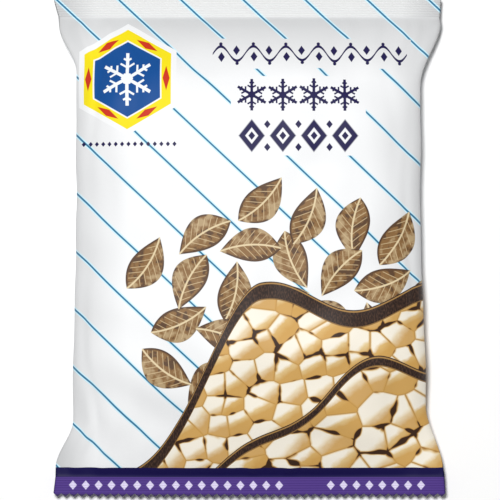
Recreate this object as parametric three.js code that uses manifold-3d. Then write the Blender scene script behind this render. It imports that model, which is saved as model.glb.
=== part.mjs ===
// A filled pillow pouch of frozen tuber pieces, lying on its back.
// Millimetres: +X runs across the pouch, +Y towards its top seal, and +Z out of its front panel.
// The origin is on the surface that the pouch lies on, under its middle.
import * as THREE from "three";
import { LoftGeometry } from "three/addons/geometries/LoftGeometry.js";
import { mergeVertices } from "three/addons/utils/BufferGeometryUtils.js";
import Module from "manifold-3d";

const wasm = await Module();
wasm.setup();

// Driving dimensions of the pouch.
const LENGTH = 248; // over the teeth of both cut ends
const LAY_FLAT_WIDTH = 195; // of the empty tube, and so of each cut end
const SEAL_HEIGHT = 10; // of each crimped end seal, teeth included
const THICKNESS = 39; // of the filled body at its fullest
const FILM = 0.6; // one layer of film, thicker than the real 0.1 mm so that it can be handled

// How far each side reaches from the centre line: the filled body at its bottom and top end, where the
// filling has spread it less, and each end seal at its inner edge and at its cut end.
const BODY_REACH = { left: [88.6, 85.4], right: [89.6, 84.1] };
const SEAL_REACH = {
  bottom: { left: [96.3, LAY_FLAT_WIDTH / 2], right: [96.9, LAY_FLAT_WIDTH / 2] },
  top: { left: [94.7, LAY_FLAT_WIDTH / 2], right: [94.8, 95.5] },
};

// The neck, where the body draws in from a seal's width, starts and ends this far from the seal.
const NECK = { left: [4, 24], right: [2, 33] };

// The filled body swells over these distances from each end seal.
const RISE_TOP = 54;
const RISE_BOTTOM = 70;
const BACK_RISE = 50; // distance from a seal at which the back comes down to the surface
const SEAL_LEVEL = 12; // height of the end seals above that surface
const SEAL_DROOP = 2; // how far a seal's corners hang below its middle

// The cross-section is a rounded oblong, squarer at the back, which the weight presses flat.
const SEAM_SHARE = 0.45; // share of the thickness that lies below the pouch's widest line
const FRONT_SQUARENESS = 2.8;
const BACK_SQUARENESS = 5;
const BACK_PRESS = 1.12;

// Crimp ribs and the toothed cut across each end.
const RIB_PITCH = 1.2;
const RIB_COUNT = 7;
const RIB_HEIGHT = 0.35;
const TOOTH_PITCH = 4.06;
const TOOTH_DEPTH = 1.6;

// The fin seal down the middle of the back, folded flat towards +X in a channel of its own.
const FIN_WIDTH = 12;
const FIN_GAP = 0.35; // between the fin and the back over it
const FIN_ROOT = 1; // half the width of the fold that joins it to the back
const FIN_GRIP = 0.25; // how far the end seals are pressed into the fin
const CHANNEL_DEPTH = 1.9;
const CHANNEL_SLOPE = 4; // width of each side slope of the channel
const CHANNEL_START = -FIN_ROOT - 2 - CHANNEL_SLOPE;
const CHANNEL_END = FIN_WIDTH + 2 + CHANNEL_SLOPE;

// Two pin-prick vents through the back, which let the air out of the filled pouch.
const VENT_RADIUS = 0.6;
const VENT_PLACES = [
  [-42, 88],
  [42, 88],
];

// The frozen pieces: cut tuber, in one layer near the edges and two in the middle.
const PIECE_PITCH = 28; // spacing of the pieces across the pouch
const ROW_PITCH = 25.2; // and along it
const PIECE_RADIUS = 14.8; // of the peeled tuber that a piece is cut from
const PIECE_GAP = 0.7; // between neighbouring pieces
const FILM_CLEARANCE = 1.2; // between a piece and the film over it
const TWO_LAYER_DEPTH = 29; // the pieces lie two deep where the cavity is deeper than this
const LEAST_DEPTH = 12.5; // and nowhere shallower than this
const PLACE_JITTER = 2.6;

const SIDE_STEPS = 10; // columns of the mesh on each side of the channel
const BODY_STEPS = 12; // rows of the mesh from a seal to the middle
const ROW_CLUSTER = 1.6; // crowds those rows towards the seals
const CUT_OVERRUN = 3; // how far the uncut film runs past its cut ends

const HALF_LENGTH = LENGTH / 2;
const HALF_BODY = HALF_LENGTH - SEAL_HEIGHT;

const clamp01 = (t) => THREE.MathUtils.clamp(t, 0, 1);
const { lerp, smoothstep } = THREE.MathUtils;

// A seeded random number generator, from 0 to 1.
function seededRandom(seed) {
  let state = seed;
  return () => {
    state = (Math.imul(state, 1664525) + 1013904223) >>> 0;
    return state / 2 ** 32;
  };
}

// A closed three.js geometry as a solid that can be cut and joined.
function solidFrom(geometry) {
  const bare = new THREE.BufferGeometry();
  bare.setAttribute("position", geometry.getAttribute("position"));
  bare.setIndex(geometry.getIndex());
  const merged = mergeVertices(bare, 1e-4);
  return new wasm.Manifold(
    new wasm.Mesh({
      numProp: 3,
      vertProperties: merged.attributes.position.array,
      triVerts: new Uint32Array(merged.index.array),
    }),
  );
}

// A solid back as a three.js geometry.
function geometryFrom(solid) {
  const { vertProperties, triVerts } = solid.getMesh();
  const geometry = new THREE.BufferGeometry();
  geometry.setAttribute("position", new THREE.BufferAttribute(vertProperties, 3));
  geometry.setIndex(new THREE.BufferAttribute(triVerts, 1));
  geometry.computeVertexNormals();
  return geometry;
}

// How full the body is at y, from 0 at the seals to 1.
function fullness(y) {
  const ramp = (distance, length) => 1 - (1 - clamp01(distance / length)) ** 2;
  return ramp(HALF_BODY - y, RISE_TOP) * ramp(HALF_BODY + y, RISE_BOTTOM);
}

// How far the pouch reaches from its centre line at y, on its left or right side.
function halfWidth(side, y) {
  const intoSeal = Math.abs(y) - HALF_BODY;
  const [innerReach, cutReach] = SEAL_REACH[y < 0 ? "bottom" : "top"][side];
  if (intoSeal > 0) {
    return lerp(innerReach, cutReach, intoSeal / SEAL_HEIGHT);
  }
  const [bottomReach, topReach] = BODY_REACH[side];
  const body = lerp(bottomReach, topReach, (y + HALF_BODY) / (2 * HALF_BODY));
  return lerp(innerReach, body, smoothstep(-intoSeal, ...NECK[side]));
}

// The levels and curve shapes of the cross-section at y.
function crossSection(y) {
  const fromSeal = Math.max(0, HALF_BODY - Math.abs(y));
  const body = smoothstep(fromSeal, 0, BACK_RISE);
  const back = (SEAL_LEVEL - FILM) * (1 - clamp01(fromSeal / BACK_RISE)) ** 2;
  const depth = (THICKNESS - 2 * FILM) * fullness(y);
  return {
    left: halfWidth("left", y),
    right: halfWidth("right", y),
    seam: back + FILM + SEAM_SHARE * depth,
    frontRise: (1 - SEAM_SHARE) * depth,
    backDrop: SEAM_SHARE * depth,
    power: lerp(1, 0.5, body),
    backSquareness: lerp(FRONT_SQUARENESS, BACK_SQUARENESS, body),
    backPress: lerp(1, BACK_PRESS, body),
    droop: SEAL_DROOP * (1 - body),
    channel: CHANNEL_DEPTH * smoothstep(fromSeal, 2, 12),
  };
}

// The fin's channel across the back at x, from 0 outside it to 1 along its floor.
function channelShare(x) {
  return clamp01(Math.min(x - CHANNEL_START, CHANNEL_END - x) / CHANNEL_SLOPE);
}

// Heights of the film's inner faces at (x, y), with the side walls taken in by inset.
function innerFaces(x, y, inset) {
  const s = crossSection(y);
  const across = clamp01(Math.abs(x) / ((x < 0 ? s.left : s.right) - inset));
  const front = (1 - across ** FRONT_SQUARENESS) ** s.power;
  const back = Math.min(1, s.backPress * (1 - across ** s.backSquareness) ** s.power);
  const level = s.seam - s.droop * across ** 2;
  return {
    front: level + s.frontRise * front,
    back: level - s.backDrop * back + s.channel * channelShare(x),
  };
}

// The columns of the mesh at y: crowded at the rounded sides, and one at each edge of the channel.
function columns(y, inset) {
  const outward = Array.from({ length: SIDE_STEPS + 1 }, (_, i) => Math.sin((i * Math.PI) / 2 / SIDE_STEPS));
  const left = outward.map((share) => lerp(CHANNEL_START, inset - halfWidth("left", y), share));
  const right = outward.map((share) => lerp(CHANNEL_END, halfWidth("right", y) - inset, share));
  const middle = (CHANNEL_START + CHANNEL_END) / 2;
  const floor = [CHANNEL_START + CHANNEL_SLOPE, middle, CHANNEL_END - CHANNEL_SLOPE];
  return [...left.reverse(), ...floor, ...right];
}

// The rows of the mesh from the bottom seal to the top one, with a rib on every other row of a seal.
function rows() {
  const upper = [];
  for (let i = 0; i < BODY_STEPS; i++) {
    upper.push({ y: HALF_BODY * (1 - (1 - i / BODY_STEPS) ** ROW_CLUSTER), rib: 0 });
  }
  for (let i = 0; i <= 2 * RIB_COUNT; i++) {
    upper.push({ y: HALF_BODY + (i * RIB_PITCH) / 2, rib: (i % 2) * RIB_HEIGHT });
  }
  upper.push({ y: HALF_LENGTH + CUT_OVERRUN, rib: 0 });
  const lower = upper.slice(1).map(({ y, rib }) => ({ y: -y, rib }));
  return [...lower.reverse(), ...upper];
}

// The pouch's outside, uncut at its ends.
function outsideOfPouch() {
  const rings = rows().map(({ y, rib }) => {
    const xs = columns(y, 0);
    const faces = xs.map((x) => innerFaces(x, y, 0));
    const front = xs.map((x, i) => new THREE.Vector3(x, y, faces[i].front + FILM + rib));
    const back = xs.map((x, i) => new THREE.Vector3(x, y, faces[i].back - FILM + rib));
    return [...front, ...back.reverse()];
  });
  return solidFrom(new LoftGeometry(rings, { capStart: true, capEnd: true }));
}

// The space inside the film, which comes to an edge along both sides.
function insideOfPouch() {
  const rings = rows()
    .filter(({ y }) => Math.abs(y) < HALF_BODY - 1)
    .map(({ y }) => {
      const xs = columns(y, 2 * FILM);
      const faces = xs.map((x) => innerFaces(x, y, 2 * FILM));
      const front = xs.map((x, i) => new THREE.Vector3(x, y, faces[i].front));
      const back = xs.map((x, i) => new THREE.Vector3(x, y, faces[i].back));
      return [...front, ...back.slice(1, -1).reverse()];
    });
  return solidFrom(new LoftGeometry(rings, { capStart: true, capEnd: true }));
}

// The fin seal: two layers of film that stand on the back's centre line and are folded over flat.
function finSeal() {
  const rings = rows().map(({ y, rib }) => {
    const fromSeal = HALF_BODY - Math.abs(y);
    const gap = lerp(-FIN_GRIP, FIN_GAP, smoothstep(fromSeal, 0, 8));
    const under = (x) => innerFaces(x, y, 0).back - FILM + rib;
    const top = under(FIN_WIDTH / 2) - gap;
    const bottom = top - 2 * FILM;
    const root = under(0) + FILM / 2;
    return [
      new THREE.Vector3(-FIN_ROOT, y, root),
      new THREE.Vector3(FIN_ROOT, y, root),
      new THREE.Vector3(FIN_ROOT, y, top),
      new THREE.Vector3(FIN_WIDTH, y, top),
      new THREE.Vector3(FIN_WIDTH, y, bottom),
      new THREE.Vector3(-FIN_ROOT, y, bottom),
    ];
  });
  return solidFrom(new LoftGeometry(rings, { capStart: true, capEnd: true }));
}

// A tall block with the outline of the cut pouch: straight sides well clear of it, and toothed ends.
function toothedBlank() {
  const teeth = Math.ceil(LAY_FLAT_WIDTH / TOOTH_PITCH) + 2;
  const startX = (-teeth / 2) * TOOTH_PITCH;
  const outline = new THREE.Shape();
  outline.moveTo(startX, HALF_LENGTH - TOOTH_DEPTH);
  for (let i = 0; i < teeth; i++) {
    outline.lineTo(startX + (i + 0.5) * TOOTH_PITCH, HALF_LENGTH);
    outline.lineTo(startX + (i + 1) * TOOTH_PITCH, HALF_LENGTH - TOOTH_DEPTH);
  }
  for (let i = teeth; i > 0; i--) {
    outline.lineTo(startX + i * TOOTH_PITCH, TOOTH_DEPTH - HALF_LENGTH);
    outline.lineTo(startX + (i - 0.5) * TOOTH_PITCH, -HALF_LENGTH);
  }
  outline.lineTo(startX, TOOTH_DEPTH - HALF_LENGTH);
  const height = 2 * THICKNESS;
  const block = new THREE.ExtrudeGeometry(outline, { depth: height, bevelEnabled: false });
  return solidFrom(block.translate(0, 0, -height / 4));
}

// A pin-prick through the back film at (x, y).
function vent([x, y]) {
  const pin = new THREE.CylinderGeometry(VENT_RADIUS, VENT_RADIUS, 8 * FILM, 8);
  pin.rotateX(Math.PI / 2);
  return solidFrom(pin.translate(x, y, innerFaces(x, y, 0).back - FILM / 2));
}

// The printed film of the pouch: one web, with its fin seal, crimped end seals and vents.
function pouchFilm() {
  let film = outsideOfPouch().add(finSeal()).intersect(toothedBlank());
  film = film.subtract(insideOfPouch());
  for (const place of VENT_PLACES) {
    film = film.subtract(vent(place));
  }
  return film;
}

// The places of the pieces: staggered rows, with two layers where the pouch is deep enough.
function piecePlaces(random) {
  const places = [];
  const rowCount = Math.floor((2 * HALF_BODY) / ROW_PITCH);
  const columnCount = Math.ceil(LAY_FLAT_WIDTH / PIECE_PITCH);
  for (let row = 0; row < rowCount; row++) {
    for (let column = 0; column <= columnCount; column++) {
      const stagger = row % 2 ? PIECE_PITCH / 2 : 0;
      const x = (column - columnCount / 2) * PIECE_PITCH + stagger + PLACE_JITTER * (2 * random() - 1);
      const y = (row - (rowCount - 1) / 2) * ROW_PITCH + PLACE_JITTER * (2 * random() - 1);
      const split = lerp(0.44, 0.56, random());
      const { low, high } = clearDepth(x, y);
      const depth = high - low;
      if (depth > TWO_LAYER_DEPTH) {
        places.push(new THREE.Vector3(x, y, low + (depth * split) / 2));
        places.push(new THREE.Vector3(x, y, high - (depth * (1 - split)) / 2));
      } else if (depth > LEAST_DEPTH) {
        places.push(new THREE.Vector3(x, y, (low + high) / 2));
      }
    }
  }
  return places;
}

// The room between the film's faces over a piece's footprint at (x, y).
function clearDepth(x, y) {
  const reach = 0.4 * PIECE_PITCH;
  const around = [-1, 0, 1].flatMap((i) => [-1, 0, 1].map((j) => [x + i * reach, y + j * reach]));
  const inside = around.every(([px, py]) => {
    const half = halfWidth(px < 0 ? "left" : "right", py);
    return Math.abs(px) < half - 3 * FILM && Math.abs(py) < HALF_BODY - 3 * FILM;
  });
  if (!inside) {
    return { low: 0, high: 0 };
  }
  const faces = around.map(([px, py]) => innerFaces(px, py, 2 * FILM));
  return {
    low: Math.max(...faces.map((f) => f.back)) + FILM_CLEARANCE,
    high: Math.min(...faces.map((f) => f.front)) - FILM_CLEARANCE,
  };
}

// One peeled piece, cut flat where it meets its neighbours and the film above and below it.
function tuberPiece(place, places, random) {
  const tuber = new THREE.IcosahedronGeometry(PIECE_RADIUS, 1);
  tuber.scale(lerp(0.9, 1.1, random()), lerp(0.8, 0.95, random()), lerp(0.65, 0.8, random()));
  tuber.applyQuaternion(
    new THREE.Quaternion().setFromEuler(
      new THREE.Euler(0.5 * (random() - 0.5), 0.5 * (random() - 0.5), Math.PI * random()),
    ),
  );
  let piece = solidFrom(tuber);
  const { low, high } = clearDepth(place.x, place.y);
  piece = piece.trimByPlane([0, 0, 1], low - place.z);
  piece = piece.trimByPlane([0, 0, -1], place.z - high);
  for (const other of places) {
    const towards = other.clone().sub(place);
    const distance = towards.length();
    if (distance > 0 && distance < 3 * PIECE_RADIUS) {
      piece = piece.trimByPlane(towards.negate().toArray(), (PIECE_GAP - distance) / 2);
    }
  }
  return piece;
}

const filmMaterial = new THREE.MeshStandardMaterial({ color: 0xeff1f2, roughness: 0.38, metalness: 0 });
const tuberMaterial = new THREE.MeshStandardMaterial({ color: 0xeedcae, roughness: 0.7, metalness: 0 });

const pouch = new THREE.Group();

const film = new THREE.Mesh(geometryFrom(pouchFilm()), filmMaterial);
film.name = "pouch_film";
pouch.add(film);

const contents = new THREE.Group();
const random = seededRandom(20);
const places = piecePlaces(random);
places.forEach((place, i) => {
  const piece = new THREE.Mesh(geometryFrom(tuberPiece(place, places, random)), tuberMaterial);
  piece.name = `tuber_piece_${String(i + 1).padStart(2, "0")}`;
  piece.position.copy(place);
  contents.add(piece);
});
pouch.add(contents);

export default pouch;
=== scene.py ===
"""Dresses a filled pillow pouch of frozen vegetables in Blender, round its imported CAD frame.

Sizes in this file are millimetres, as a packer would state them, and become metres where a mesh is made.
+X runs across the pouch, +Y towards its top seal, and +Z out of its front panel.
"""

import logging
import math
from dataclasses import dataclass, field
from enum import Enum
from typing import Any, Protocol

import bmesh
import bpy
import numpy as np
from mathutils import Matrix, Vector

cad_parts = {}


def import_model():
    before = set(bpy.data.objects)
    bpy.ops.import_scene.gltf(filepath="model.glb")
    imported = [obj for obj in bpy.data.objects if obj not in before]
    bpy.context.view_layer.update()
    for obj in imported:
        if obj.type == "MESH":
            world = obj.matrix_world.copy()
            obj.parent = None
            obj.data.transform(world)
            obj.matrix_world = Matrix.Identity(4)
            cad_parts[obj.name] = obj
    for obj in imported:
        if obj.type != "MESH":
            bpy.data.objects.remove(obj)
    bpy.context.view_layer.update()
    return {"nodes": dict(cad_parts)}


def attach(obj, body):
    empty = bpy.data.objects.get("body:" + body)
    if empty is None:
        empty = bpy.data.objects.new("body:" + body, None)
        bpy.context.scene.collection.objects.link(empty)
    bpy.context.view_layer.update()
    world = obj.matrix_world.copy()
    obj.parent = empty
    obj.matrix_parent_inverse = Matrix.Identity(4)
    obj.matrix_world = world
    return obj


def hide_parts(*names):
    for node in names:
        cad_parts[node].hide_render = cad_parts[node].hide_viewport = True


log = logging.getLogger("pouch")

MM = 0.001  # one millimetre in metres
Point = tuple[float, float]
Settings = dict[str, Any]
Links = dict[Any, Any]
Tree = bpy.types.NodeTree
Piece = bpy.types.Object


def linear(hex_colour: str, alpha: float = 1.0) -> tuple[float, float, float, float]:
    """Turns an sRGB hex colour to the linear values that a shader takes.

    Args:
        hex_colour: Six hex digits after a hash.
        alpha: The fourth value.

    Returns:
        Red, green, blue and alpha.
    """
    parts = [int(hex_colour[i : i + 2], 16) / 255 for i in (1, 3, 5)]
    red, green, blue = (p / 12.92 if p <= 0.04045 else ((p + 0.055) / 1.055) ** 2.4 for p in parts)
    return red, green, blue, alpha


def smoothstep(x: Any, start: float, end: float) -> Any:
    """Rises smoothly from 0 at start to 1 at end.

    Args:
        x: Where to take it.
        start: Where the rise starts.
        end: Where it ends.

    Returns:
        The share risen.
    """
    share = np.clip((np.asarray(x, float) - start) / (end - start), 0, 1)
    return share * share * (3 - 2 * share)


def lerp(a: Any, b: Any, share: Any) -> Any:
    """Goes from a to b by a share."""
    return a + (b - a) * share


def add_node(tree: Tree, kind: str, settings: Settings | None = None, links: Links | None = None) -> Any:
    """Adds one shader node.

    Args:
        tree: The node tree.
        kind: The node's type name, without the ShaderNode in front.
        settings: Attributes of the node.
        links: Input name or number to an output socket, a Field, or a plain value.

    Returns:
        The new node.
    """
    node = tree.nodes.new("ShaderNode" + kind)
    for name, value in (settings or {}).items():
        setattr(node, name, value)
    for name, value in (links or {}).items():
        value = value.socket if isinstance(value, Field) else value
        if isinstance(value, bpy.types.NodeSocket):
            tree.links.new(value, node.inputs[name])
        else:
            node.inputs[name].default_value = value
    return node


class Field:
    """A number that varies over a surface. Arithmetic on it adds the nodes that work it out."""

    def __init__(self, tree: Tree, socket: bpy.types.NodeSocket) -> None:
        """Wraps an output socket of a tree."""
        self.tree = tree
        self.socket = socket

    def result(self, operation: str, *values: Any) -> "Field":
        """Adds the Math node for an operation on some values.

        Args:
            operation: The Math node's operation.
            values: Fields or numbers, in the order of the node's inputs.

        Returns:
            The result.
        """
        node = add_node(self.tree, "Math", {"operation": operation}, dict(enumerate(values)))
        return Field(self.tree, node.outputs[0])

    def op(self, operation: str, *others: Any) -> "Field":
        """Works out an operation on this field and any others."""
        return self.result(operation, self, *others)

    def __add__(self, other: Any) -> "Field":
        """Adds."""
        return self.op("ADD", other)

    def __sub__(self, other: Any) -> "Field":
        """Subtracts."""
        return self.op("SUBTRACT", other)

    def __rsub__(self, other: float) -> "Field":
        """Subtracts from a number."""
        return self.result("SUBTRACT", other, self)

    def __mul__(self, other: Any) -> "Field":
        """Multiplies."""
        return self.op("MULTIPLY", other)

    def __truediv__(self, other: Any) -> "Field":
        """Divides."""
        return self.op("DIVIDE", other)

    def __abs__(self) -> "Field":
        """Its distance from 0."""
        return self.op("ABSOLUTE")

    def lesser(self, other: Any) -> "Field":
        """The lesser of two, which joins two distances."""
        return self.op("MINIMUM", other)

    def greater(self, other: Any) -> "Field":
        """The greater of two, which joins two masks."""
        return self.op("MAXIMUM", other)

    def sine(self) -> "Field":
        """Its sine."""
        return self.op("SINE")

    def fold(self, length: float) -> "Field":
        """Its distance from the nearest even multiple of a length."""
        return self.op("PINGPONG", length)

    def repeat(self, pitch: float) -> "Field":
        """Its place within the nearest repeat, from minus half a pitch to half a pitch."""
        return self.op("WRAP", pitch / 2, -pitch / 2)

    def below(self, edge: Any, soft: float = 0.12) -> "Field":
        """A mask that is 1 where the field is under an edge.

        Args:
            edge: The value at the edge.
            soft: How far the mask takes to fall from 1 to 0.

        Returns:
            The mask.
        """
        inside = (self - edge) if isinstance(edge, Field) else self
        middle = 0.0 if isinstance(edge, Field) else edge
        links = {"Value": inside, "From Min": middle + soft / 2, "From Max": middle - soft / 2}
        return Field(self.tree, add_node(self.tree, "MapRange", {}, links).outputs[0])


class InkStack:
    """Inks laid one over another on the white film, each through its own mask."""

    def __init__(self, tree: Tree, ground: str) -> None:
        """Starts from bare film.

        Args:
            tree: The node tree.
            ground: The film's own colour.
        """
        self.tree = tree
        self.colour: Any = linear(ground)

    def lay(self, mask: Field, ink: Any) -> None:
        """Lays one ink.

        Args:
            mask: Where the ink lies.
            ink: A hex colour, or the socket of a mixed colour.
        """
        colour = linear(ink) if isinstance(ink, str) else ink
        links = {0: mask, 6: self.colour, 7: colour}
        self.colour = add_node(self.tree, "Mix", {"data_type": "RGBA"}, links).outputs[2]


class Side(Enum):
    """A side of the pouch, by its sign along X."""

    LEFT = -1
    RIGHT = 1


class Panel(Enum):
    """A panel of the pouch, by its sign along Z."""

    FRONT = 1
    BACK = -1


class End(Enum):
    """An end of the pouch, by its sign along Y."""

    BOTTOM = -1
    TOP = 1


@dataclass
class PouchForm:
    """The form of the filled pouch, as in its solid, with a film as thin as the real one looks."""

    length: float = 248.0
    flat_width: float = 195.0
    seal_height: float = 10.0
    thickness: float = 39.0
    film: float = 0.6
    seal_film: float = 0.25
    film_rise: float = 6.0  # from a seal to where the film has its full thickness
    rise_top: float = 54.0
    rise_bottom: float = 70.0
    back_rise: float = 50.0
    seal_level: float = 12.0
    seal_droop: float = 2.0
    seam_share: float = 0.45  # the share of the thickness that lies behind the folded sides
    front_squareness: float = 2.8
    back_squareness: float = 5.0
    back_press: float = 1.12  # how far the table presses the back flat
    channel_depth: float = 1.9
    channel_start: float = -7.0
    channel_end: float = 18.0
    channel_slope: float = 4.0
    channel_fade: Point = (2.0, 12.0)
    waist_place: float = 10.0
    waist_spread: float = 48.0
    waist: dict[Side, float] = field(default_factory=lambda: {Side.LEFT: 0.9, Side.RIGHT: 1.5})
    # half the body's width at its bottom and at its top
    body_reach: dict[Side, Point] = field(
        default_factory=lambda: {Side.LEFT: (87.6, 85.4), Side.RIGHT: (88.5, 84.0)}
    )
    # where the neck starts and where it ends, from a seal
    neck: dict[Side, Point] = field(
        default_factory=lambda: {Side.LEFT: (4.0, 28.0), Side.RIGHT: (2.0, 35.0)}
    )
    # half a seal's width at its inner edge and at its cut end
    seal_reach: dict[tuple[Side, End], Point] = field(
        default_factory=lambda: {
            (Side.LEFT, End.BOTTOM): (96.3, 97.5),
            (Side.RIGHT, End.BOTTOM): (96.9, 97.5),
            (Side.LEFT, End.TOP): (94.7, 97.5),
            (Side.RIGHT, End.TOP): (94.8, 95.5),
        }
    )

    @property
    def half_length(self) -> float:
        """From the middle to the teeth."""
        return self.length / 2

    @property
    def half_body(self) -> float:
        """From the middle to a seal."""
        return self.half_length - self.seal_height

    def from_seal(self, y: float) -> float:
        """How far y is from the nearer seal, or 0 within it."""
        return max(0.0, self.half_body - abs(y))

    def fullness(self, y: float) -> float:
        """How full the body is at y, from 0 at the seals to 1."""
        top = np.clip((self.half_body - y) / self.rise_top, 0, 1)
        bottom = np.clip((self.half_body + y) / self.rise_bottom, 0, 1)
        return float((1 - (1 - top) ** 2) * (1 - (1 - bottom) ** 2))

    def half_width(self, side: Side, y: float) -> float:
        """How far the pouch reaches from its centre line at y on one side."""
        into_seal = abs(y) - self.half_body
        inner, cut = self.seal_reach[side, End.BOTTOM if y < 0 else End.TOP]
        if into_seal > 0:
            return lerp(inner, cut, into_seal / self.seal_height)
        bottom, top = self.body_reach[side]
        body = lerp(bottom, top, (y + self.half_body) / (2 * self.half_body))
        body -= self.waist[side] * math.exp(-(((y - self.waist_place) / self.waist_spread) ** 2))
        return lerp(inner, body, float(smoothstep(-into_seal, *self.neck[side])))

    def outer(self, panel: Panel, side: Side, y: float, across: np.ndarray) -> tuple[np.ndarray, np.ndarray]:
        """The film's outer face on one half of a panel's cross-section.

        Args:
            panel: Front or back.
            side: Left or right half.
            y: Height of the cross-section.
            across: Shares of the way from the centre line to the side edge.

        Returns:
            X and Z of each point.
        """
        near = self.from_seal(y)
        body = float(smoothstep(near, 0, self.back_rise))
        lift = (self.seal_level - self.film) * (1 - min(1.0, near / self.back_rise)) ** 2
        depth = (self.thickness - 2 * self.film) * self.fullness(y)
        power = lerp(1.0, 0.5, body)  # the section turns from a lens at the seals to an oval
        reach = self.half_width(side, y)
        x = side.value * reach * across
        level = lift + self.film + self.seam_share * depth - self.seal_droop * (1 - body) * across**2
        skin = lerp(self.seal_film, self.film, float(smoothstep(near, 0, self.film_rise)))
        skin = skin * np.sqrt(np.clip((1 - across) * reach / skin, 0, 1))
        if panel is Panel.FRONT:
            crown = (1 - across**self.front_squareness) ** power
            return x, level + (1 - self.seam_share) * depth * crown + skin
        squareness = lerp(self.front_squareness, self.back_squareness, body)
        press = lerp(1.0, self.back_press, body)
        crown = np.minimum(1, press * (1 - across**squareness) ** power)
        channel = self.channel_depth * float(smoothstep(near, *self.channel_fade)) * self.channel_share(x)
        return x, level - self.seam_share * depth * crown + channel - skin

    def channel_share(self, x: np.ndarray) -> np.ndarray:
        """The fin's channel across the back, from 0 outside it to 1 along its floor."""
        inward = np.minimum(x - self.channel_start, self.channel_end - x)
        return np.clip(inward / self.channel_slope, 0, 1)

    def back_level(self, x: float, y: float) -> float:
        """Height of the back's outer face at (x, y), which lies right of the centre line or left of it."""
        side = Side.LEFT if x < 0 else Side.RIGHT
        share = np.array([abs(x) / self.half_width(side, y)])
        return float(self.outer(Panel.BACK, side, y, share)[1][0])


@dataclass
class SeededWaves:
    """Smooth noise round the tube of film: plane waves with seeded directions and phases."""

    seed: int
    girth: float
    shortest: float
    longest: float
    count: int = 24
    stretch: float = 1.0

    def at(self, w: np.ndarray, y: np.ndarray) -> np.ndarray:
        """Takes the noise, with a spread of about 1.

        Args:
            w: Places round the tube.
            y: Heights.

        Returns:
            The noise at each place.
        """
        random = np.random.default_rng(self.seed)
        total = np.zeros(np.broadcast(w, y).shape)
        for _ in range(self.count):
            wavelength = random.uniform(self.shortest, self.longest)
            heading = random.uniform(0, 2 * math.pi)
            turns = round(self.girth / wavelength * math.cos(heading))
            climb = 2 * math.pi / wavelength * math.sin(heading) / self.stretch
            phase = random.uniform(0, 2 * math.pi)
            total += np.cos(2 * math.pi * turns / self.girth * w + climb * y + phase)
        return total / math.sqrt(self.count / 2)


@dataclass(frozen=True)
class RidgeSet:
    """One set of the puckers' ridges, which run away from a seal."""

    seed: int
    pitch: float
    share: float
    shift: float


@dataclass(frozen=True)
class Crease:
    """A soft crease that runs down beside one rounded side of the front."""

    side: Side
    place: float
    width: float
    depth: float


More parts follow.
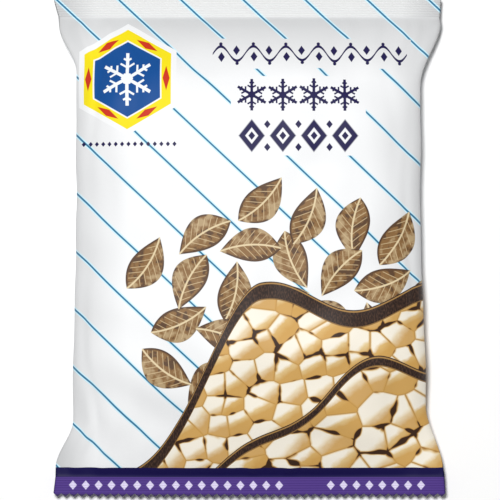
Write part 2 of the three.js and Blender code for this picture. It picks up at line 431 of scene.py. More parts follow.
@dataclass
class FilmRelief:
    """What the smooth form leaves out.

    These are the crimp's ribs, the seals' sway, the puckers at the seals, the creases down the sides, and
    the lumps of the filling.
    """

    form: PouchForm
    rib_pitch: float = 1.2
    rib_count: int = 7
    rib_height: float = 0.42
    rib_fade: float = 0.3
    sway_height: float = 0.6
    sway_length: float = 26.0
    # share, length across the pouch, and phase at the top and at the bottom
    sway_waves: tuple[tuple[float, float, float, float], ...] = (
        (1.0, 21.0, 0.6, 2.4),
        (0.6, 11.5, 2.2, 0.4),
    )
    pucker_height: float = 1.4
    pucker_length: float = 26.0
    pucker_start: float = 5.0
    pucker_least: float = 0.3
    pucker_wander: float = 0.22
    # their length as shares of it, at the centre line and what a corner adds
    pucker_stretch: Point = (0.75, 0.5)
    ridge_drift: float = 1.1
    ridge_sharpness: float = 2.2
    ridge_mean: float = 0.35
    ridge_sets: tuple[RidgeSet, ...] = (RidgeSet(30, 17.0, 0.65, 1.3), RidgeSet(31, 10.5, 0.35, 0.2))
    lump_height: float = 0.5
    lump_size: Point = (24.0, 46.0)
    lump_rise: Point = (4.0, 30.0)
    lump_count: int = 30
    side_tightness: float = 0.8  # the share of the lumps that the film's tight sides hold back
    crease_height: float = 0.9
    crease_rise: Point = (2.0, 20.0)
    # how far a crease bends, over what length, and how its place shifts that
    crease_bends: tuple[tuple[float, float, float], ...] = ((2.2, 31.0, 1.0), (1.1, 13.0, 2.0))
    creases: tuple[Crease, ...] = (
        Crease(Side.LEFT, 84.0, 3.4, 1.0),
        Crease(Side.RIGHT, 86.0, 3.0, 0.8),
        Crease(Side.LEFT, 74.0, 4.5, 0.35),
        Crease(Side.RIGHT, 77.0, 4.5, 0.4),
    )

    def across(self, w: np.ndarray) -> np.ndarray:
        """Place across the pouch of a place round the tube, with the back folded under the front."""
        width = self.form.flat_width
        return np.where(np.abs(w) > width / 2, np.sign(w) * width - w, w)

    def crimp(self, y: np.ndarray) -> np.ndarray:
        """Height of the crimp ribs, which push both layers of the seal the same way."""
        into = np.abs(y) - self.form.half_body
        end = self.rib_pitch * self.rib_count
        within = smoothstep(into, 0, self.rib_fade) * (1 - smoothstep(into, end - self.rib_fade, end))
        return within * self.rib_height * (0.5 - 0.5 * np.cos(2 * math.pi * into / self.rib_pitch))

    def sway(self, w: np.ndarray, y: np.ndarray) -> np.ndarray:
        """The slow wave of the end seals, which the filling pulls out of flat."""
        near = 1 - smoothstep(self.form.half_body - np.abs(y), 0, self.sway_length)
        x = self.across(w)
        wave = 0.0
        for share, length, top_phase, bottom_phase in self.sway_waves:
            wave = wave + share * np.sin(x / length + np.where(y > 0, top_phase, bottom_phase))
        return self.sway_height * near * wave

    def normal_relief(self, w: np.ndarray, y: np.ndarray) -> np.ndarray:
        """Relief along the surface's normal.

        Args:
            w: Places round the tube.
            y: Heights.

        Returns:
            How far each place stands out.
        """
        near = self.form.half_body - np.abs(y)
        corner = np.clip(np.abs(self.across(w)) / (self.form.flat_width / 2), 0, 1)
        puckers = self.puckers(w, y, near, corner)
        return puckers + self.side_creases(w, y, near) + self.lumps(w, y, near, corner)

    def puckers(self, w: np.ndarray, y: np.ndarray, near: np.ndarray, corner: np.ndarray) -> np.ndarray:
        """Ridges that fade away from the seals, highest and longest towards the corners.

        Args:
            w: Places round the tube.
            y: Heights.
            near: How far each place is from a seal.
            corner: How far out each place is, from 0 at the centre line to 1 at a side.

        Returns:
            Their height at each place.
        """
        girth = 2 * self.form.flat_width
        ridges = 0.0
        for ridge in self.ridge_sets:
            drift = SeededWaves(ridge.seed, girth, 40, 110, stretch=2.5).at(w, y)
            turns = round(girth / ridge.pitch)
            phase = 2 * math.pi * turns * w / girth + self.ridge_drift * drift + ridge.shift * np.sign(y)
            crest = (0.5 + 0.5 * np.cos(phase)) ** self.ridge_sharpness
            ridges = ridges + ridge.share * (crest - self.ridge_mean)
        wander = SeededWaves(5, girth, 60, 140).at(w, y)
        strength = self.pucker_least + (1 - self.pucker_least) * corner**3 + self.pucker_wander * wander
        least, added = self.pucker_stretch
        reach = self.pucker_length * (least + added * corner**2)
        fade = smoothstep(near, 0, self.pucker_start) * np.exp(-np.clip(near, 0, None) / reach)
        return self.pucker_height * np.clip(strength, 0, None) * ridges * fade

    def side_creases(self, w: np.ndarray, y: np.ndarray, near: np.ndarray) -> np.ndarray:
        """The creases beside the front's rounded sides, each of which comes and goes along the pouch."""
        total = np.zeros(np.broadcast(w, y).shape)
        for crease in self.creases:
            place = crease.place
            bend = sum(far * np.sin(y / length + turn * place) for far, length, turn in self.crease_bends)
            line = crease.side.value * (place + bend)
            along = 0.55 + 0.45 * np.sin(y / 24 + 1.7 * place)
            total = total - crease.depth * along * np.exp(-(((w - line) / crease.width) ** 2))
        return self.crease_height * total * smoothstep(near, *self.crease_rise)

    def lumps(self, w: np.ndarray, y: np.ndarray, near: np.ndarray, corner: np.ndarray) -> np.ndarray:
        """The pieces of the filling, as far as they show through the film, away from its tight sides."""
        waves = SeededWaves(8, 2 * self.form.flat_width, *self.lump_size, count=self.lump_count).at(w, y)
        shown = smoothstep(near, *self.lump_rise) * (1 - self.side_tightness * corner**6)
        return self.lump_height * shown * waves


@dataclass
class FilmSkin:
    """The printed film: one tube from cut end to cut end, with its crimped seals and toothed edges."""

    form: PouchForm
    relief: FilmRelief
    columns: int = 384
    body_rows: int = 142
    seal_rows: int = 40
    seal_row_pitch: float = 0.2
    tooth_rows: int = 3
    tooth_depth: float = 1.6
    teeth: int = 48
    across_samples: int = 260
    edge_gather: float = 7.0  # how closely the web that the sides take up lies to their edges
    fin_clearance: Point = (18.0, 26.0)  # no relief near the fin, and all of it past this

    def row_heights(self) -> list[Point]:
        """Each row's height before the teeth, and how far it follows the toothed edge."""
        half = self.form.half_body
        body = [(half * (2 * i / self.body_rows - 1), 0.0) for i in range(self.body_rows + 1)]
        seal = [(half + (i + 1) * self.seal_row_pitch, 0.0) for i in range(self.seal_rows)]
        seal += [(seal[-1][0], (i + 1) / self.tooth_rows) for i in range(self.tooth_rows)]
        return [(-y, tooth) for y, tooth in reversed(seal)] + body + seal

    def grid(self) -> tuple[np.ndarray, np.ndarray, np.ndarray]:
        """Places the film's points on the smooth form.

        Returns:
            Place round the tube and height of each point of the grid, and the points.
        """
        form = self.form
        width = form.flat_width
        w = -width + 2 * width * np.arange(self.columns) / self.columns
        on_front = np.abs(w) <= width / 2
        x_share = np.where(on_front, np.abs(w), width - np.abs(w)) / (width / 2)
        across = np.sin(np.linspace(0, math.pi / 2, self.across_samples))
        tooth = 0.5 + 0.5 * np.cos(2 * math.pi * w * self.teeth / width)
        edge = form.half_length - self.tooth_depth * tooth
        heights = []
        points = []
        for base, toothed in self.row_heights():
            y = np.sign(base) * lerp(abs(base), edge, toothed) if toothed else np.full(self.columns, base)
            row = np.zeros((self.columns, 3))
            row[:, 1] = y
            for panel in Panel:
                for side in Side:
                    x, z = form.outer(panel, side, base, across)
                    run = np.concatenate([[0], np.cumsum(np.hypot(np.diff(x), np.diff(z)))])
                    on_side = (np.sign(w) == side.value) | (x_share == 0)
                    pick = on_side & (on_front if panel is Panel.FRONT else ~on_front)
                    place = np.interp(x_share[pick] * run[-1], run, across)
                    row[pick, 0], row[pick, 2] = form.outer(panel, side, base, place)
            heights.append(y)
            points.append(row)
        heights_grid = np.array(heights)
        return np.broadcast_to(w, heights_grid.shape), heights_grid, np.array(points)

    def printed_place(self, w: np.ndarray, points: np.ndarray) -> np.ndarray:
        """Where each point lies across the printed web.

        The print runs straight over the front, and the rounded sides take up the rest of the web.

        Args:
            w: Places round the tube, which tell the panels apart.
            points: The grid of points on the smooth form.

        Returns:
            Each point's place across the web.
        """
        width = self.form.flat_width
        across = np.abs(points[..., 0])
        reach = np.zeros_like(across)
        for row, (base, _) in enumerate(self.row_heights()):
            left, right = (self.form.half_width(side, base) for side in Side)
            reach[row] = np.where(w[row] < 0, left, right)
        share = np.clip(across / reach, 0, 1)
        behind = width - across - (width - 2 * reach) * share**self.edge_gather
        return np.sign(w) * np.where(np.abs(w) <= width / 2, across, behind)

    def normals(self, points: np.ndarray) -> np.ndarray:
        """Outward normals of the grid of points."""
        round_tube = np.roll(points, -1, axis=1) - np.roll(points, 1, axis=1)
        along = np.gradient(points, axis=0)
        normal = np.cross(round_tube, along)
        return normal / np.maximum(np.linalg.norm(normal, axis=2, keepdims=True), 1e-9)

    def build(self) -> Piece:
        """Builds the skin's mesh, with the print's own coordinates as a UV map in metres."""
        w, y, points = self.grid()
        printed = self.printed_place(w, points)
        clear = smoothstep(self.form.flat_width - np.abs(w), *self.fin_clearance)
        points = points + self.normals(points) * (clear * self.relief.normal_relief(w, y))[..., None]
        points[..., 2] += self.relief.crimp(y) + self.relief.sway(w, y)
        points[..., 2] = np.maximum(points[..., 2], 0)
        rows, columns = w.shape
        index = np.arange(rows * columns).reshape(rows, columns)
        faces = []
        for r in range(rows - 1):
            a, b = index[r], index[r + 1]
            faces += list(zip(a.tolist(), np.roll(a, -1).tolist(), np.roll(b, -1).tolist(), b.tolist()))
        faces += self.cap(index[0], flip=True) + self.cap(index[-1], flip=False)
        mesh = bpy.data.meshes.new("printed_film")
        mesh.from_pydata((points.reshape(-1, 3) * MM).tolist(), [], faces)
        mesh.update()
        self.unwrap(mesh, printed.ravel(), y.ravel())
        mesh.shade_smooth()
        skin = bpy.data.objects.new("printed_film", mesh)
        bpy.context.scene.collection.objects.link(skin)
        return skin

    def cap(self, ring: np.ndarray, flip: bool) -> list[tuple[int, ...]]:
        """Closes a cut end between its front and back layers.

        Args:
            ring: The end row's vertices.
            flip: Whether the faces turn round, for the bottom end.

        Returns:
            The faces.
        """
        middle = self.columns // 2
        faces = []
        for k in range(-self.columns // 4, self.columns // 4):
            front = (ring[middle + k], ring[middle + k + 1])
            back = (ring[(-k - 1) % self.columns], ring[-k % self.columns])
            corners = [int(c) for c in dict.fromkeys(front + back)]
            faces.append(tuple(reversed(corners)) if flip else tuple(corners))
        return faces

    def unwrap(self, mesh: bpy.types.Mesh, w: np.ndarray, y: np.ndarray) -> None:
        """Gives each face corner its place on the printed web, with the web's seam at the back's centre.

        Args:
            mesh: The skin's mesh.
            w: Each vertex's place round the tube.
            y: Each vertex's height.
        """
        loops = np.zeros(len(mesh.loops), np.int32)
        mesh.loops.foreach_get("vertex_index", loops)
        starts = np.zeros(len(mesh.polygons), np.int32)
        totals = np.zeros(len(mesh.polygons), np.int32)
        mesh.polygons.foreach_get("loop_start", starts)
        mesh.polygons.foreach_get("loop_total", totals)
        owner = np.repeat(np.arange(len(starts)), totals)
        u = w[loops].copy()
        furthest = np.full(len(starts), -np.inf)
        np.maximum.at(furthest, owner, u)
        half = self.form.flat_width / 2
        across_seam = (u < -half) & (furthest[owner] > half)
        u[across_seam] += 2 * self.form.flat_width
        layer = mesh.uv_layers.new(name="print")
        layer.data.foreach_set("uv", (np.stack([u, y[loops]], axis=1) * MM).ravel())


@dataclass
class FinSeal:
    """The fin seal: the web's two edges sealed together, standing on the back and folded over flat."""

    form: PouchForm
    relief: FilmRelief
    width: float = 12.0
    layers: float = 0.7
    sealed_layers: float = 0.5
    gap: float = 0.35
    bite: float = 0.1  # how deep the fin lies in the end seals
    settle: float = 8.0  # from an end seal to where the fin hangs free in its channel
    end_gap: float = 1.7
    root: float = 1.0
    root_turn: float = 0.5
    root_steps: int = 7
    shoulder: float = 0.6
    lip: float = 0.25
    web_half: float = 0.3
    web_reach: float = 0.2  # how deep the root runs into the film
    rows: int = 125
    columns: int = 49
    rib_pitch: float = 1.5
    rib_height: float = 0.22  # as a share of the layers' thickness
    rib_rise: Point = (1.0, 2.5)
    ripple: float = 0.16
    ripple_length: float = 9.0
    ripple_phase: float = 0.7
    ripple_rise: Point = (2.0, 20.0)

    def profile(self) -> list[Point]:
        """The cross-section's points: X, and depth from -1 in the film over 0 at the top layer to 1."""
        turns = np.linspace(self.root_turn, math.pi, self.root_steps)
        bulge = [(-self.root * math.sin(a), 0.5 - 0.5 * math.cos(a)) for a in turns]
        across = np.linspace(self.shoulder, self.width - self.lip, self.columns)
        ribs = self.rib_height * np.sin(2 * math.pi * across / self.rib_pitch)
        ribs = ribs * smoothstep(across, *self.rib_rise)
        lower = list(zip(across, 1.0 + ribs))
        lip = [(self.width, 0.7), (self.width, 0.3)]
        upper = [(x, 0.0) for x in across[::-1]]
        web = [(self.web_half, -1.0), (-self.web_half, -1.0)]
        return bulge + lower + lip + upper + web

    def points(self, profile: list[Point]) -> list[tuple[float, float, float]]:
        """Places the cross-section from seal to seal, a film's gap under the back.

        Args:
            profile: The cross-section's points.

        Returns:
            Every row's points, in metres.
        """
        form = self.form
        end = form.half_length - self.end_gap
        points = []
        for y in np.linspace(-end, end, self.rows):
            near = form.half_body - abs(y)
            free = float(smoothstep(near, 0, self.settle))
            seat = form.back_level(self.width / 2, y) - lerp(-self.bite, self.gap, free)
            thick = lerp(self.sealed_layers, self.layers, free)
            rise = lerp(self.bite, self.gap + self.web_reach, free)
            ripple = self.ripple * math.sin(y / self.ripple_length + self.ripple_phase)
            ripple *= float(smoothstep(near, *self.ripple_rise))
            for x, down in profile:
                sway = float(self.relief.sway(np.array(form.flat_width - x), np.array(y)))
                depth = down * (thick if down > 0 else rise)
                points.append((x * MM, y * MM, (seat - depth + ripple * x / self.width + sway) * MM))
        return points

    def build(self) -> Piece:
        """Lofts the fin, with the web's own coordinates on it as a UV map in metres."""
        profile = self.profile()
        points = self.points(profile)
        count = len(profile)
        faces = []
        for r in range(self.rows - 1):
            for i in range(count):
                j = (i + 1) % count
                faces.append((r * count + i, r * count + j, (r + 1) * count + j, (r + 1) * count + i))
        faces.append(tuple(range(count)))
        faces.append(tuple(reversed(range((self.rows - 1) * count, self.rows * count))))
        mesh = bpy.data.meshes.new("fin_seal")
        mesh.from_pydata(points, [], faces)
        work = bmesh.new()
        work.from_mesh(mesh)
        bmesh.ops.recalc_face_normals(work, faces=work.faces)
        work.to_mesh(mesh)
        work.free()
        layer = mesh.uv_layers.new(name="print")
        for loop in mesh.loops:
            place = mesh.vertices[loop.vertex_index].co
            layer.data[loop.index].uv = (-self.form.flat_width * MM - place.x, place.y)
        mesh.shade_smooth()
        fin = bpy.data.objects.new("fin_seal", mesh)
        bpy.context.scene.collection.objects.link(fin)
        return fin


@dataclass
class VentRims:
    """The melted rims that the hot needles leave round the two vents in the back."""

    places: tuple[Point, ...] = ((-42.0, 88.0), (42.0, 88.0))
    radius: float = 1.3
    bore: float = 0.6
    thickness: float = 0.5
    recess: float = 0.3
    rounding: float = 0.09
    rounding_steps: int = 3
    sides: int = 24
    probe_start: float = -10.0

    def build(self, skin: Piece, index: int) -> Piece:
        """Models one rim, seated on the film's back.

        Args:
            skin: The film.
            index: Which vent it is.

        Returns:
            The rim.
        """
        x, y = self.places[index]
        bpy.context.view_layer.update()
        _, seat, normal, _ = skin.ray_cast((x * MM, y * MM, self.probe_start * MM), (0, 0, 1))
        bpy.ops.object.select_all(action="DESELECT")
        turn = normal.to_track_quat("Z", "Y").to_euler()
        sizes = {"vertices": self.sides, "radius": self.radius * MM, "depth": self.thickness * MM}
        bpy.ops.mesh.primitive_cylinder_add(**sizes)
        rim = bpy.context.object
        rim.name = f"vent_rim_{index + 1}"
        self.sink_bore(rim)
        rim.location, rim.rotation_euler = seat, turn
        bpy.ops.object.transform_apply(location=True, rotation=True, scale=True)
        bevel = rim.modifiers.new("melted_edge", "BEVEL")
        bevel.width = self.rounding * MM
        bevel.segments = self.rounding_steps
        bpy.ops.object.modifier_apply(modifier=bevel.name)
        bpy.ops.object.shade_smooth()
        return rim

    def sink_bore(self, rim: Piece) -> None:
        """Insets the outer face and sinks it, with the second material, a painted shade, on the bore's
        floor.
        """
        bpy.ops.object.mode_set(mode="EDIT")
        bpy.ops.mesh.select_all(action="DESELECT")
        bpy.context.tool_settings.mesh_select_mode = (False, False, True)
        work = bmesh.from_edit_mesh(rim.data)
        for face in work.faces:
            face.select_set(face.normal.z > 0.9)
        bmesh.update_edit_mesh(rim.data)
        bpy.ops.mesh.inset(thickness=(self.radius - self.bore) * MM)
        bpy.ops.mesh.extrude_region_shrink_fatten(TRANSFORM_OT_shrink_fatten={"value": -self.recess * MM})
        rim.data.materials.append(None)
        rim.data.materials.append(None)
        rim.active_material_index = 1
        bpy.ops.object.material_slot_assign()
        bpy.ops.object.mode_set(mode="OBJECT")


class Ink(str, Enum):
    """The bare film and the inks on it, by their sRGB colours.

    The film is white. The four grey tones after it are painted shade: on the crimped top seal, down the
    rounded sides, on the slope under the top seal and at the corners.
    """

    FILM = "#f1f2f3"
    # painted shade: grey tones that darken the white film where it turns away from the lamp
    SEAL_SHADE_PAINT = "#e1e2e2"
    SIDE_SHADE_PAINT = "#dfe0e1"
    UNDER_SEAL_SHADE_PAINT = "#d6d7d8"
    CORNER_SHADE_PAINT = "#c7c8c9"
    NAVY = "#1f1a4c"
    RULE = "#8d8aa8"
    TEAL = "#1b6f96"
    TEAL_HALO = "#cdeffb"
    YELLOW = "#f3df16"
    BLUE = "#0b4c92"
    RED = "#c8331a"
    FROST = "#f2f6f8"
    BAND = "#110946"
    PURPLE = "#503786"
    PURPLE_EDGE = "#39295f"
    LILAC = "#d9d2ec"
    EARTH = "#2c1f1a"
    EARTH_MOTTLE = "#5d4334"
    CREST_LINE = "#a9824c"
    EARTH_LINE = "#8c6a3d"
    TILE_GAP = "#3a2416"
    TILE_RIM = "#a8773c"
    TILE_GOLD = "#dcb978"
    TILE_SAND = "#e6cf9c"
    TILE_CREAM = "#efe3c6"
    TILE_SHADE = "#cc9d52"
    TILE_LIGHT = "#f6efe0"
    LEAF_RIM = "#4a3326"
    LEAF_BROWN = "#8a673f"
    LEAF_PALE = "#b39a74"
    LEAF_DARK = "#5c432f"
    LEAF_VEIN = "#c9b189"
    LEAF_MIDRIB = "#e0cda6"


class Ornament(Protocol):
    """A picture or a border in the print."""

    def lay(self, inks: InkStack, x: Field, y: Field) -> None:
        """Lays its inks."""


def outside_box(x: Field, y: Field, centre: Point, half: Point) -> Field:
    """How far a point is outside an upright box, or less than 0 within it."""
    return (abs(x - centre[0]) - half[0]).greater(abs(y - centre[1]) - half[1])


def past(value: Field, edge: float, soft: float) -> Field:
    """A mask that is 1 where a field is over an edge, and takes soft to rise from 0 to 1."""
    return (edge - value).below(0.0, soft)


def lozenge(x: Field, y: Field, half_width: float, half_height: float) -> Field:
    """A mask of a lozenge about the origin."""
    return (abs(x) / half_width + abs(y) / half_height).below(1.0)


def polar(x: Field, y: Field) -> tuple[Field, Field]:
    """Distance and direction from the origin."""
    return (x * x + y * y).op("SQRT"), y.op("ARCTAN2", x)


@dataclass(frozen=True)
class FrostCrystal:
    """A six-armed frost crystal with barbs that shorten outwards. Its sizes are shares of its own."""

    stroke: float = 0.085
    heart: float = 0.2
    barb_stroke: float = 0.72
    barb_pitch: float = 0.27
    barb_shift: float = 0.44
    barb_slant: float = 0.577
    barb_start: float = 0.34
    barb_end: float = 0.98
    taper: float = 0.6
    taper_end: float = 1.03

    def mask(self, x: Field, y: Field, size: float) -> Field:
        """Masks a crystal about the origin.

        Args:
            x: Along one of its arms.
            y: Across that arm.
            size: From its middle to the end of an arm.

        Returns:
            The mask.
        """
        radius, angle = polar(x, y)
        turn = angle.fold(math.pi / 6)
        along = radius * turn.op("COSINE")
        aside = radius * turn.sine()
        arm = aside.below(self.stroke * size) * along.below(size)
        line = (along - aside * self.barb_slant - self.barb_shift * size).repeat(self.barb_pitch * size)
        barb = abs(line).below(self.barb_stroke * self.stroke * size)
        barb = barb * aside.below((self.taper_end * size - along) * self.taper)
        barb = barb * along.below(self.barb_end * size) * (self.barb_start * size - along).below(0.0)
        return arm.greater(barb).greater(along.below(self.heart * size))


@dataclass(frozen=True)
class Badge:
    """A blue hexagon in a yellow frame, with a white frost crystal and a red lozenge at each corner."""

    place: Point = (-60.0, 82.5)
    reach: float = 21.6
    # how far outside the frame's edge each hexagon reaches, and its ink
    rings: tuple[tuple[float, Ink], ...] = (
        (2.6, Ink.FILM),
        (0.0, Ink.YELLOW),
        (-4.6, Ink.FILM),
        (-5.3, Ink.BLUE),
    )
    lozenge: Point = (6.0, 1.7)
    lozenge_inset: float = 2.3
    crystal_inset: float = 8.4
    crystal_stroke: float = 0.06

    def lay(self, inks: InkStack, x: Field, y: Field) -> None:
        """Lays its inks."""
        x = x - self.place[0]
        y = y - self.place[1]
        hexagon = (abs(x) * 0.5 + abs(y) * math.cos(math.pi / 6)).greater(abs(x))
        for out, ink in self.rings:
            inks.lay(hexagon.below(self.reach + out), ink)
        radius, angle = polar(x, y)
        angle = angle.repeat(math.pi / 3)
        outward = radius * angle.op("COSINE") - (self.reach - self.lozenge_inset)
        inks.lay(lozenge(radius * angle.sine(), outward, *self.lozenge), Ink.RED)
        crystal = FrostCrystal(self.crystal_stroke).mask(y, x, self.reach - self.crystal_inset)
        inks.lay(crystal, Ink.FROST)


@dataclass(frozen=True)
class Vine:
    """A running vine, with a bud in each hollow and a berry over each bud."""

    place: Point = (30.0, 95.0)
    pitch: float = 16.0
    waves: int = 6
    swing: float = 3.6
    stem_half: float = 0.5
    stem_swell: float = 0.06
    bud: Point = (1.7, 2.5)
    bud_shift: Point = (0.3, 1.6)
    berry_height: float = 4.9
    berry_squared: float = 0.7
    berry_soft: float = 0.3

    def lay(self, inks: InkStack, x: Field, y: Field) -> None:
        """Lays its ink."""
        x = x - self.place[0]
        y = y - self.place[1]
        within = abs(x).below(self.waves * self.pitch / 2)
        wave = (x * (2 * math.pi / self.pitch)).sine()
        stem = abs(y - wave * self.swing).below(abs(y) * self.stem_swell + self.stem_half)
        inks.lay(stem * within, Ink.NAVY)
        hollow = (x - self.pitch / 4).repeat(self.pitch / 2)
        sign = wave.op("SIGN")
        bud = lozenge(hollow - sign * self.bud_shift[0], y * sign + self.bud_shift[1], *self.bud)
        inks.lay(bud * within, Ink.NAVY)
        above = y * sign - self.berry_height
        berry = (hollow * hollow + above * above).below(self.berry_squared, self.berry_soft)
        inks.lay(berry * within, Ink.NAVY)


@dataclass(frozen=True)
class Friezes:
    """Two bold rows, frost crystals over lozenges with beads between them, and a fine row of dots."""

    middle: float = 24.0
    pitch: float = 15.2
    cells: int = 4
    crystal_height: float = 74.4
    crystal_size: float = 7.9
    lozenge_height: float = 54.3
    lozenges: tuple[tuple[float, float, Ink], ...] = (
        (6.4, 8.0, Ink.NAVY),
        (3.2, 4.0, Ink.FILM),
        (1.7, 2.1, Ink.NAVY),
    )
    bead: Point = (1.6, 2.0)
    bead_height: float = 5.6
    dots_place: Point = (-59.0, 50.3)
    dots_half: float = 24.0
    dot_pitch: float = 3.2
    dot: Point = (1.05, 1.25)

    def lay(self, inks: InkStack, x: Field, y: Field) -> None:
        """Lays its inks."""
        local = x - self.middle
        within = abs(local).below(self.cells * self.pitch / 2)
        in_cell = (local - self.pitch / 2).repeat(self.pitch)
        crystals = FrostCrystal().mask(y - self.crystal_height, in_cell, self.crystal_size)
        inks.lay(crystals * within, Ink.NAVY)
        up = y - self.lozenge_height
        for half_width, half_height, ink in self.lozenges:
            inks.lay(lozenge(in_cell, up, half_width, half_height) * within, ink)
        beads = lozenge(local.repeat(self.pitch), abs(up) - self.bead_height, *self.bead)
        inks.lay(beads * abs(local).below((self.cells - 1) * self.pitch / 2), Ink.NAVY)
        along = x - self.dots_place[0]
        dots = lozenge(along.repeat(self.dot_pitch), y - self.dots_place[1], *self.dot)
        inks.lay(dots * abs(along).below(self.dots_half), Ink.NAVY)


@dataclass(frozen=True)
class Tiling:
    """Irregular cream and gold tiles, each shaded from its own upper left to its lower right."""

    size: float
    seed: float
    squash: float = 0.86
    open_share: float = 0.45  # how far the dark gaps open where they do
    gold_share: float = 0.2  # of the tiles stay gold
    sand_share: float = 0.6  # are gold or sandy, and the others cream
    grain: float = 0.3  # how far the grain breaks the shading
    grain_scale: float = 3.0
    gap_scale: float = 1.3
    # each ink's edge from the gap's middle, and how softly it starts, in tiles
    rim: Point = (-0.012, 0.03)
    gold: Point = (0.02, 0.05)
    sand: Point = (0.045, 0.07)
    cream: Point = (0.05, 0.07)
    light: Point = (0.055, 0.06)

    def colour(self, x: Field, y: Field) -> Any:
        """Mixes the tiles' colour.

        Args:
            x: Place across the web.
            y: Place up it.

        Returns:
            The socket of the colour.
        """
        tree = x.tree
        flat = {"voronoi_dimensions": "2D"}
        parts = {0: x / self.size + self.seed, 1: y / (self.squash * self.size)}
        place = add_node(tree, "CombineXYZ", {}, parts).outputs[0]
        links = {"Vector": place, "Scale": 1.0}
        cells = add_node(tree, "TexVoronoi", flat, links)
        edges = add_node(tree, "TexVoronoi", flat | {"feature": "DISTANCE_TO_EDGE"}, links)
        chance = add_node(tree, "SeparateColor", {}, {0: cells.outputs["Color"]})
        pick, tilt = Field(tree, chance.outputs[0]), Field(tree, chance.outputs[1])
        ends = {0: place, 1: cells.outputs["Position"]}
        offset = add_node(tree, "VectorMath", {"operation": "SUBTRACT"}, ends)
        away = add_node(tree, "SeparateXYZ", {}, {0: offset.outputs[0]})
        slope = Field(tree, away.outputs[0]) * 0.8 - Field(tree, away.outputs[1]) * (tilt + 0.5)
        links = {"Vector": place, "Scale": self.grain_scale, "Detail": 4.0}
        grain = Field(tree, add_node(tree, "TexNoise", {"noise_dimensions": "2D"}, links).outputs[0])
        grain = grain * self.grain
        links = {"Vector": place, "Scale": self.gap_scale, "Detail": 1.0}
        wide = Field(tree, add_node(tree, "TexNoise", {"noise_dimensions": "2D"}, links).outputs[0])
        opening = (wide - 0.5).greater(0.0) * self.open_share
        inside = Field(tree, edges.outputs["Distance"]) - opening
        sandy = past(pick, self.gold_share, 0.05)
        creamy = past(pick, self.sand_share, 0.05)
        stack = InkStack(tree, Ink.TILE_GAP)
        stack.lay(past(inside, *self.rim), Ink.TILE_RIM)
        stack.lay(past(inside, *self.gold), Ink.TILE_GOLD)
        stack.lay(past(inside, *self.sand) * sandy, Ink.TILE_SAND)
        stack.lay(past(inside, *self.cream) * creamy, Ink.TILE_CREAM)
        shade = (0.26 - slope - grain).below(0.0, 0.5) * past(inside, 0.0, 0.05)
        stack.lay(shade * 0.9, Ink.TILE_SHADE)
        stack.lay((slope + 0.2 - grain).below(0.0, 0.22) * past(inside, *self.light), Ink.TILE_LIGHT)
        return stack.colour


@dataclass(frozen=True)
class Slope:
    """A hill's climb from the far left, and its fall again round the pouch's right side."""

    low: float
    rise: float
    start: float
    end: float
    fall_start: float = 98.0
    fall_end: float = 132.0


@dataclass(frozen=True)
class Roll:
    """The rolling of a hill's skyline, a slow sine."""

    height: float
    length: float
    shift: float


@dataclass(frozen=True)
class Hill:
    """A rolling hill, edged in dark earth and tiled."""

    slope: Slope
    roll: Roll
    edge: float  # how high the earth stands over the tiles
    tiling: Tiling
    crest_depth: float = 0.9
    crest_half: float = 0.35
    edge_half: float = 0.3
    mottle_scale: Point = (0.35, 0.12)  # across the web and up it, which draws the mottle out upwards
    mottle_fade: Point = (0.62, 0.35)

    def climb(self, x: Field, start: float, end: float) -> Field:
        """A smooth climb of the whole slope, from one place across the web to another."""
        smooth = {"interpolation_type": "SMOOTHSTEP"}
        links = {"Value": x, "From Min": start, "From Max": end, "To Max": self.slope.rise}
        return Field(x.tree, add_node(x.tree, "MapRange", smooth, links).outputs[0])

    def skyline(self, x: Field) -> Field:
        """Height of the skyline."""
        climb = self.climb(x, self.slope.start, self.slope.end)
        fall = self.climb(x, self.slope.fall_start, self.slope.fall_end)
        wave = ((x + self.roll.shift) / self.roll.length).sine() * self.roll.height
        return climb - fall + wave + self.slope.low

    def earth(self, x: Field, y: Field) -> Any:
        """The dark brown of the edge, with a paler mottle."""
        across, up = self.mottle_scale
        place = add_node(x.tree, "CombineXYZ", {}, {0: x * across, 1: y * up})
        links = {"Vector": place.outputs[0], "Detail": 5.0}
        mottle = Field(x.tree, add_node(x.tree, "TexNoise", {"noise_dimensions": "2D"}, links).outputs[0])
        stack = InkStack(x.tree, Ink.EARTH)
        stack.lay(past(mottle, *self.mottle_fade), Ink.EARTH_MOTTLE)
        return stack.colour

    def lay(self, inks: InkStack, x: Field, y: Field) -> None:
        """Lays its inks."""
        above = y - self.skyline(x)
        inks.lay(above.below(0.0), self.earth(x, y))
        inks.lay(abs(above + self.crest_depth).below(self.crest_half), Ink.CREST_LINE)
        inks.lay(above.below(-self.edge), self.tiling.colour(x, y))
        inks.lay(abs(above + self.edge).below(self.edge_half), Ink.EARTH_LINE)


